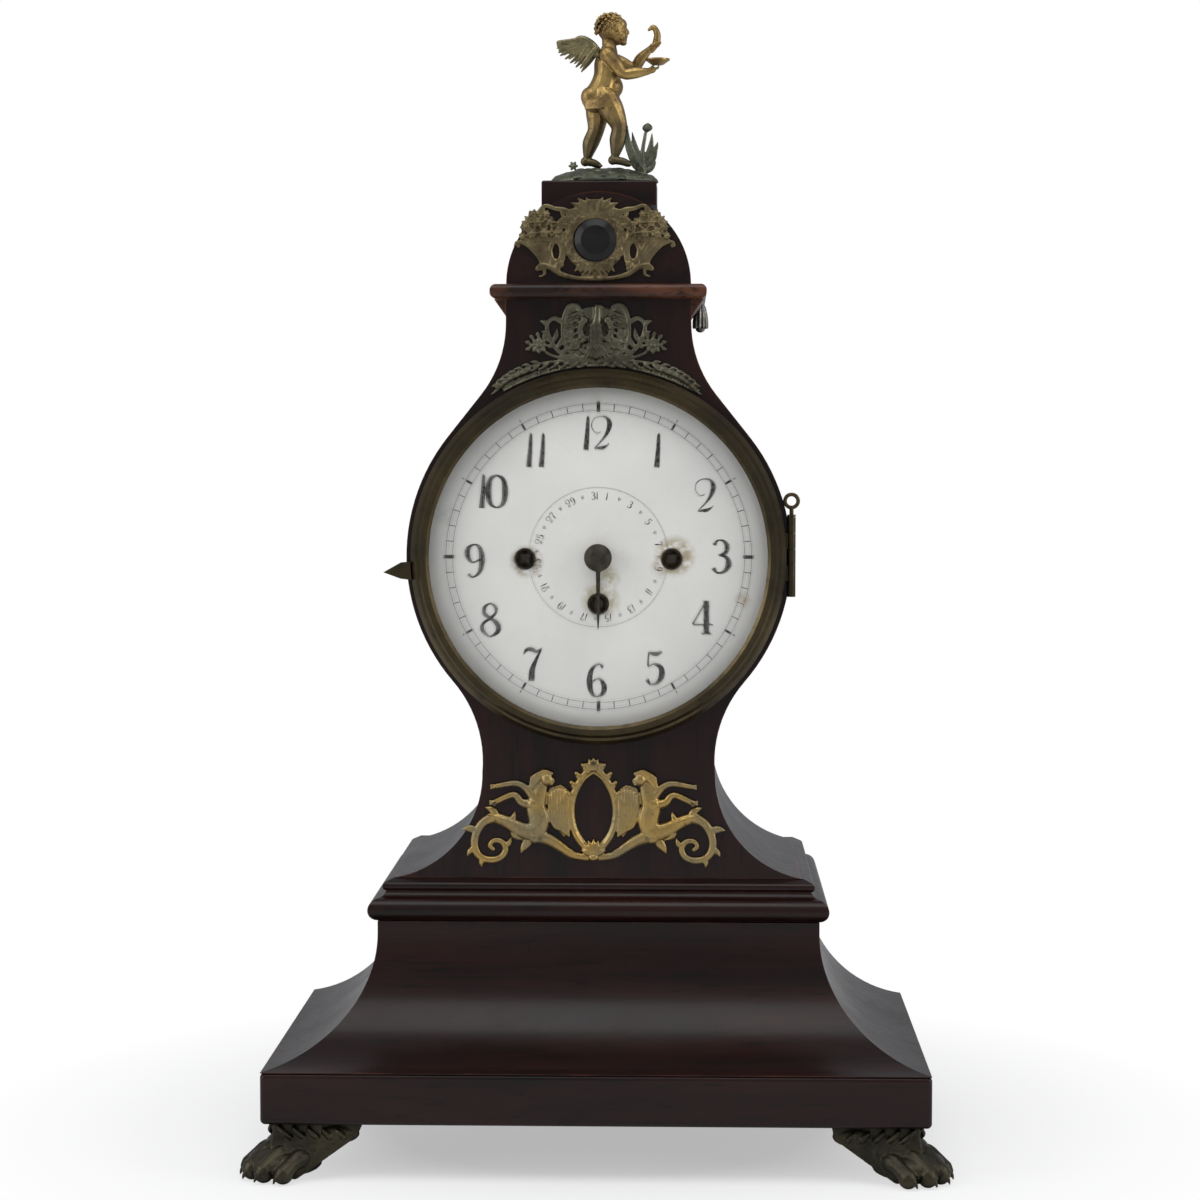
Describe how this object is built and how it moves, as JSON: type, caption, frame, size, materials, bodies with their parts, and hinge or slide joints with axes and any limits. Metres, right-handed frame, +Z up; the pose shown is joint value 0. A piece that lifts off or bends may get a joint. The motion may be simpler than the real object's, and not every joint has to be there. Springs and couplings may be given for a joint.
{
  "type": "bracket clock",
  "caption": "Waisted balloon-shaped bracket clock in dark wood with gilt mounts, round hinged bezel, enamel dial, paw feet and a winged figure on top.",
  "frame": {"origin": "on the floor under the middle of the plinth, centre of the bounding box's bottom", "axes": "+Z up, +X to the right of someone facing the dial, the dial faces -Y"},
  "size_m": [0.3752, 0.2472, 0.6014],
  "materials": {
    "mahogany": "dark polished mahogany",
    "oak": "plain oak",
    "gilt_brass": "worn gilding",
    "paw_bronze": "dark patinated bronze",
    "aged_brass": "toned lacquered brass",
    "clock_brass": "polished brass",
    "steel": "brushed",
    "bell_metal": "turned bell metal",
    "pendant_metal": "dull grey metal",
    "black_boss": "black lacquer",
    "enamel": "glossy vitreous enamel",
    "clear_glass": "thin domed glass"
  },
  "bodies": {
    "case": {"arch_head": "mahogany", "back_cock": "clock_brass", "back_frame": "mahogany", "back_plate": "clock_brass", "base_moulding": "mahogany", "bell_stand": "steel", "case_hinge_leaf": "aged_brass", "cherub_figure": "gilt_brass", "dial_feet": "clock_brass", "dial_plate": "enamel", "figure_ground": "gilt_brass", "foot_front_left": "paw_bronze", "foot_front_right": "paw_bronze", "foot_rear_left": "paw_bronze", "foot_rear_right": "paw_bronze", "frieze_mount": "gilt_brass", "front_board": "mahogany", "front_plate": "clock_brass", "head_mount": "gilt_brass", "hour_bell": "bell_metal", "left_side_board": "mahogany", "lower_mount": "gilt_brass", "mount_pins": "gilt_brass", "offering_dish": "gilt_brass", "pedestal_block": "mahogany", "plate_pillars": "clock_brass", "plinth_cove": "mahogany", "plinth_slab": "mahogany", "quarter_bell": "bell_metal", "rear_hinge_plates": "aged_brass", "right_side_board": "mahogany", "seatboard": "oak", "side_pendant": "pendant_metal", "top_board": "mahogany", "winding_sleeves": "aged_brass", "wood_screws": "steel", "wreath_boss": "black_boss"},
    "bezel": {"bezel_ring": "aged_brass", "bezel_glass": "clear_glass", "bezel_hinge_leaf": "aged_brass"},
    "hinge_pin": {"hinge_pin": "aged_brass"},
    "rear_door": {"rear_door_ring": "mahogany", "rear_glass": "clear_glass", "rear_door_hinges": "aged_brass"},
    "rear_latch": {"rear_latch": "gilt_brass"},
    "barrel_left": {"spring_barrel_left": "clock_brass"},
    "barrel_right": {"spring_barrel_right": "clock_brass"},
    "barrel_going": {"spring_barrel_going": "clock_brass"},
    "centre": {"centre_arbor": "steel"},
    "minute": {"minute_wheel": "clock_brass"},
    "hour": {"hour_wheel": "clock_brass"},
    "date": {"date_wheel": "clock_brass", "date_hand": "gilt_brass"},
    "third": {"third_wheel": "clock_brass"},
    "escape": {"escape_wheel": "clock_brass"},
    "anchor": {"anchor": "steel"},
    "pendulum": {"pendulum_rod": "steel", "pendulum_bob": "clock_brass"},
    "hammer_left": {"hammer_left": "steel"},
    "hammer_right": {"hammer_right": "steel"}
  },
  "joints": [
    {"name": "bezel_hinge", "type": "hinge", "parent": "case", "child": "bezel", "pos_m": [0.1004, -0.0496, 0.316], "axis": [0, 0, 1], "range_deg": [0, 115]},
    {"name": "hinge_pin_slide", "type": "slide", "parent": "case", "child": "hinge_pin", "axis": [0, 0, 1], "range_m": [0, 0.048]},
    {"name": "rear_door_hinge", "type": "hinge", "parent": "case", "child": "rear_door", "pos_m": [-0.0874, 0.1042, 0.316], "axis": [0, 0, 1], "range_deg": [0, 110]},
    {"name": "rear_latch_turn", "type": "hinge", "parent": "case", "child": "rear_latch", "pos_m": [0.0906, 0, 0.316], "axis": [0, 1, 0], "range_deg": [0, 90]},
    {"name": "winding_left", "type": "hinge", "parent": "case", "child": "barrel_left", "pos_m": [-0.0382, 0, 0.3151], "axis": [0, 1, 0], "continuous": true},
    {"name": "winding_right", "type": "hinge", "parent": "case", "child": "barrel_right", "pos_m": [0.0382, 0, 0.3151], "axis": [0, 1, 0], "continuous": true},
    {"name": "winding_going", "type": "hinge", "parent": "case", "child": "barrel_going", "pos_m": [0, 0, 0.2917], "axis": [0, 1, 0], "continuous": true},
    {"name": "minute_arbor_turn", "type": "hinge", "parent": "case", "child": "centre", "pos_m": [0, 0, 0.316], "axis": [0, 1, 0], "continuous": true},
    {"name": "motion_wheel_turn", "type": "hinge", "parent": "case", "child": "minute", "pos_m": [0.01737, 0, 0.32232], "axis": [0, 1, 0], "continuous": true},
    {"name": "hour_turn", "type": "hinge", "parent": "case", "child": "hour", "pos_m": [0, 0, 0.316], "axis": [0, 1, 0], "continuous": true},
    {"name": "date_turn", "type": "hinge", "parent": "case", "child": "date", "pos_m": [0, 0, 0.316], "axis": [0, 1, 0], "continuous": true},
    {"name": "third_wheel_turn", "type": "hinge", "parent": "case", "child": "third", "pos_m": [0, 0, 0.338], "axis": [0, 1, 0], "continuous": true},
    {"name": "escape_wheel_turn", "type": "hinge", "parent": "case", "child": "escape", "pos_m": [0, 0, 0.35543], "axis": [0, 1, 0], "continuous": true},
    {"name": "anchor_rock", "type": "hinge", "parent": "case", "child": "anchor", "pos_m": [0, 0, 0.3754], "axis": [0, 1, 0], "range_deg": [-4, 4]},
    {"name": "pendulum_swing", "type": "hinge", "parent": "case", "child": "pendulum", "pos_m": [0, 0, 0.3754], "axis": [0, 1, 0], "range_deg": [-4, 4]},
    {"name": "hammer_left_lift", "type": "hinge", "parent": "case", "child": "hammer_left", "pos_m": [-0.046, 0, 0.374], "axis": [0, 1, 0], "range_deg": [-7, 2]},
    {"name": "hammer_right_lift", "type": "hinge", "parent": "case", "child": "hammer_right", "pos_m": [0.046, 0, 0.374], "axis": [0, 1, 0], "range_deg": [-5, 12]}
  ],
  "couplings": [
    {"joint": "motion_wheel_turn", "follows": "minute_arbor_turn", "ratio": -0.83333},
    {"joint": "hour_turn", "follows": "minute_arbor_turn", "ratio": 0.083333},
    {"joint": "date_turn", "follows": "minute_arbor_turn", "ratio": 0.001344},
    {"joint": "third_wheel_turn", "follows": "minute_arbor_turn", "ratio": -10},
    {"joint": "anchor_rock", "follows": "pendulum_swing", "ratio": 1}
  ]
}
